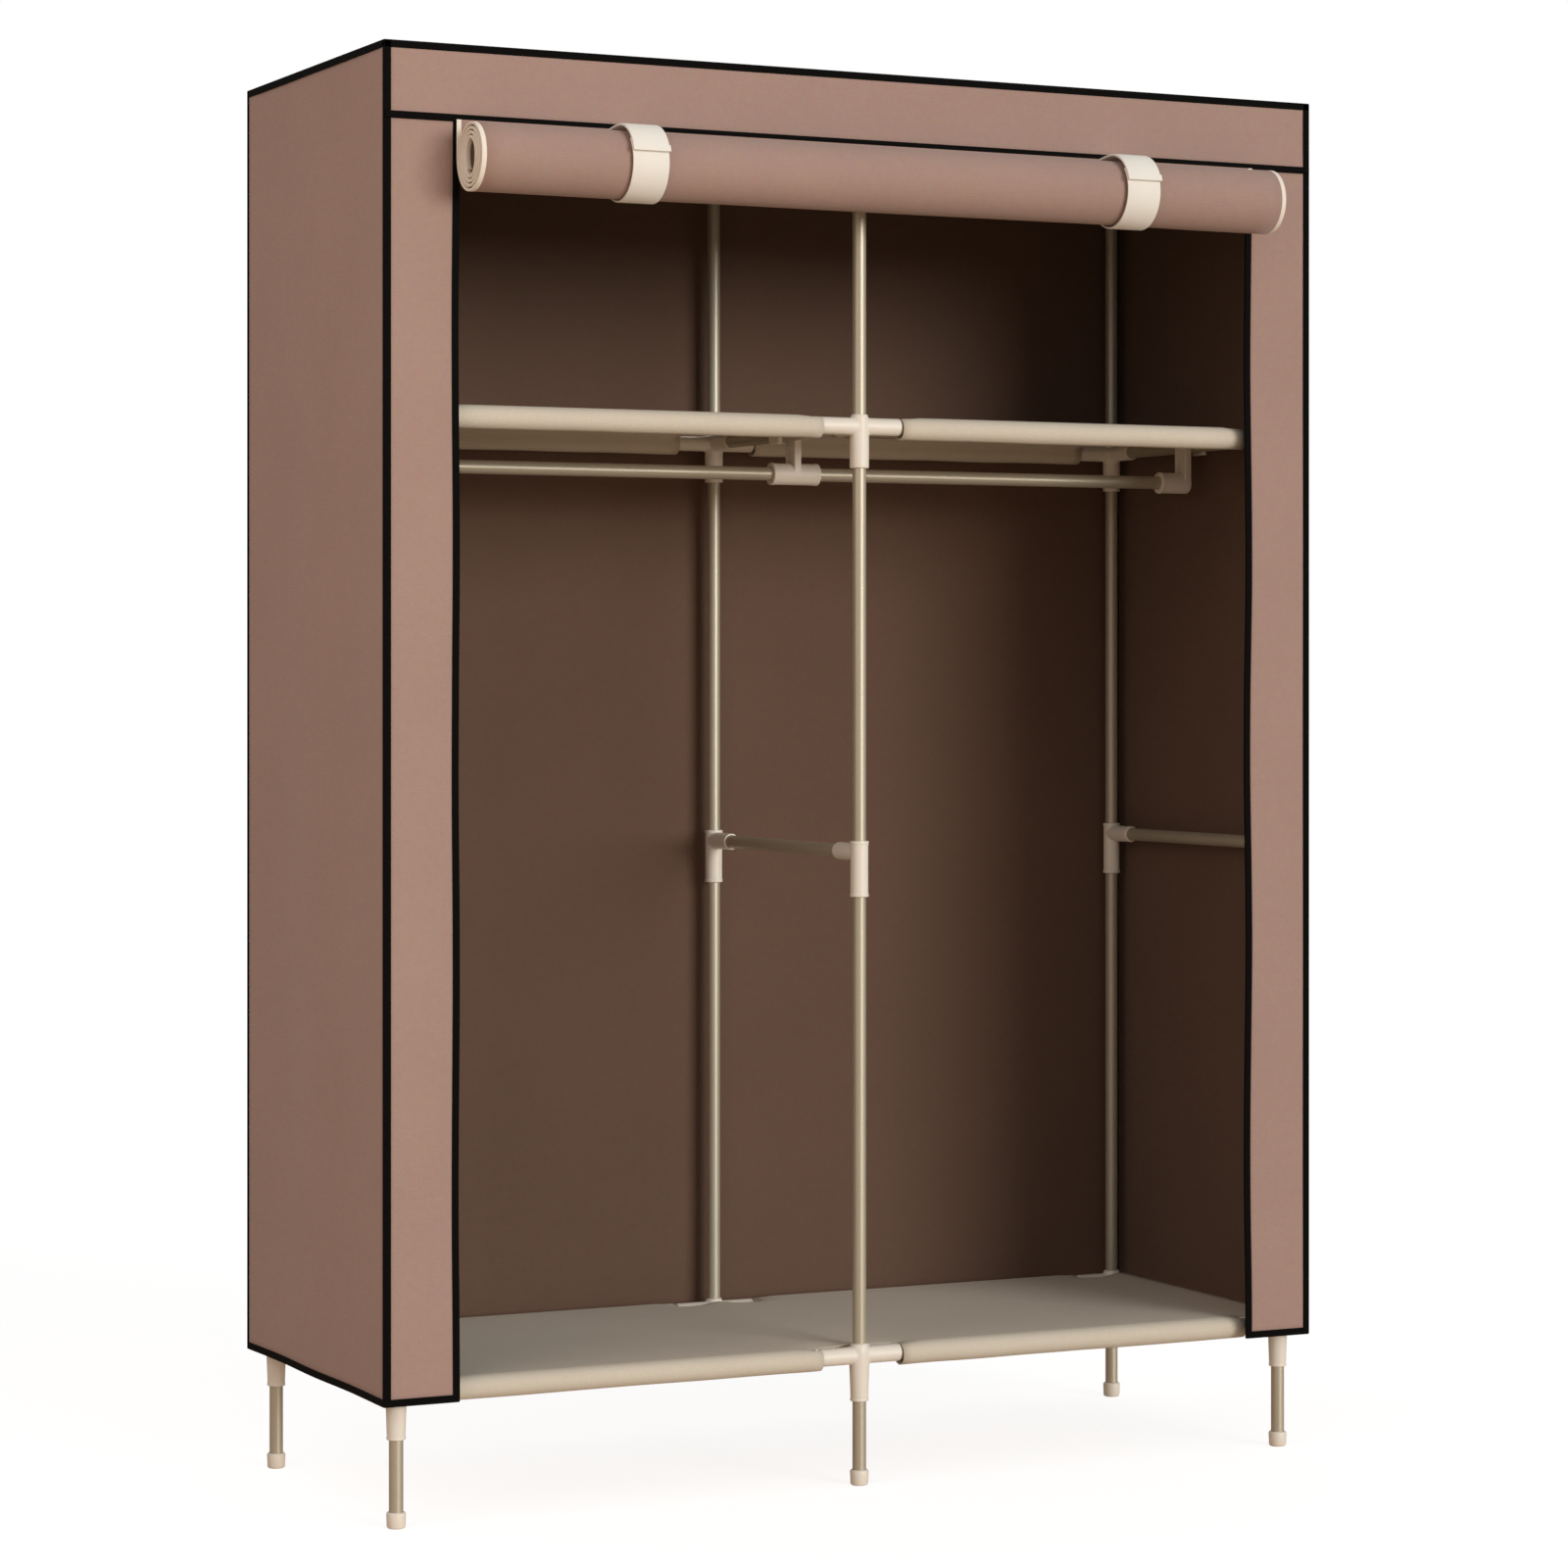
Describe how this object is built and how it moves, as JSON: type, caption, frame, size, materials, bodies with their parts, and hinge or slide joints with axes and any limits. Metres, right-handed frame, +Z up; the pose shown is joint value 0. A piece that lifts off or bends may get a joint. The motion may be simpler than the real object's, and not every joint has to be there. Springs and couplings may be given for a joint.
{
  "type": "portable fabric wardrobe",
  "caption": "Portable wardrobe: push-fit steel tube frame on legs, cloth shelves, a hanging rail and a sewn cloth cover whose rolled-up door is held by strap loops.",
  "frame": {"origin": "on the floor, under the middle of the whole outline, the rolled door and its straps included", "axes": "+Z up; the front, with the doorway and the rolled door, faces -Y; +X to the right seen from the front"},
  "size_m": [1.2, 0.5464, 1.64],
  "materials": {
    "painted_steel_tube": "smooth grey-beige powder coat, satin",
    "moulded_plastic": "moulded cream polypropylene, satin",
    "cover_cloth": "non-woven cloth with a fine embossed grain, mauve-brown",
    "shelf_cloth": "non-woven cloth, warm grey-cream",
    "strap_tape": "woven hook-and-loop tape, cream"
  },
  "bodies": {
    "frame": {"upright_front_left": "painted_steel_tube", "foot_front_left": "moulded_plastic", "upright_front_middle": "painted_steel_tube", "foot_front_middle": "moulded_plastic", "upright_front_right": "painted_steel_tube", "foot_front_right": "moulded_plastic", "upright_rear_left": "painted_steel_tube", "foot_rear_left": "moulded_plastic", "upright_rear_middle": "painted_steel_tube", "upright_rear_right": "painted_steel_tube", "foot_rear_right": "moulded_plastic", "bottom_connector_front_left": "moulded_plastic", "shelf_connector_front_left": "moulded_plastic", "bottom_connector_front_middle": "moulded_plastic", "shelf_connector_front_middle": "moulded_plastic", "bottom_connector_front_right": "moulded_plastic", "shelf_connector_front_right": "moulded_plastic", "bottom_connector_rear_left": "moulded_plastic", "shelf_connector_rear_left": "moulded_plastic", "bottom_connector_rear_middle": "moulded_plastic", "shelf_connector_rear_middle": "moulded_plastic", "bottom_connector_rear_right": "moulded_plastic", "shelf_connector_rear_right": "moulded_plastic", "bottom_depth_tube_left": "painted_steel_tube", "shelf_depth_tube_left": "painted_steel_tube", "mid_rung_left": "moulded_plastic", "top_rung_left": "moulded_plastic", "bottom_depth_tube_middle": "painted_steel_tube", "shelf_depth_tube_middle": "painted_steel_tube", "mid_rung_middle": "moulded_plastic", "top_rung_middle": "moulded_plastic", "bottom_depth_tube_right": "painted_steel_tube", "shelf_depth_tube_right": "painted_steel_tube", "mid_rung_right": "moulded_plastic", "top_rung_right": "moulded_plastic", "bottom_width_tube_front_left": "painted_steel_tube", "bottom_width_tube_front_right": "painted_steel_tube", "shelf_width_tube_front_left": "painted_steel_tube", "shelf_width_tube_front_right": "painted_steel_tube", "top_width_tube_front": "painted_steel_tube", "bottom_width_tube_rear_left": "painted_steel_tube", "bottom_width_tube_rear_right": "painted_steel_tube", "shelf_width_tube_rear_left": "painted_steel_tube", "shelf_width_tube_rear_right": "painted_steel_tube", "top_width_tube_rear": "painted_steel_tube", "rod_left": "painted_steel_tube", "rod_right": "painted_steel_tube", "rod_bracket_middle": "moulded_plastic", "rod_bracket_left": "moulded_plastic", "rod_bracket_right": "moulded_plastic", "shelf_cloth_bottom": "shelf_cloth", "shelf_cloth_top": "shelf_cloth", "cover_sides_and_back": "cover_cloth", "cover_front_and_top": "cover_cloth", "door_web": "cover_cloth", "strap_tail_left": "strap_tape", "strap_tail_right": "strap_tape"},
    "door": {"door_roll": "cover_cloth"},
    "left_tab": {"strap_tab_left": "strap_tape"},
    "right_tab": {"strap_tab_right": "strap_tape"}
  },
  "joints": [
    {"name": "door_drop", "type": "slide", "parent": "frame", "child": "door", "axis": [0, 0, -1], "range_m": [0, 1.33], "deforming": ["door_web", "strap_tail_left", "strap_tail_right"]},
    {"name": "left_tab_peel", "type": "hinge", "parent": "frame", "child": "left_tab", "pos_m": [-0.317, -0.19311, 1.5561], "axis": [-1, 0, 0], "range_deg": [0, 80]},
    {"name": "right_tab_peel", "type": "hinge", "parent": "frame", "child": "right_tab", "pos_m": [0.317, -0.19311, 1.5561], "axis": [-1, 0, 0], "range_deg": [0, 80]}
  ]
}
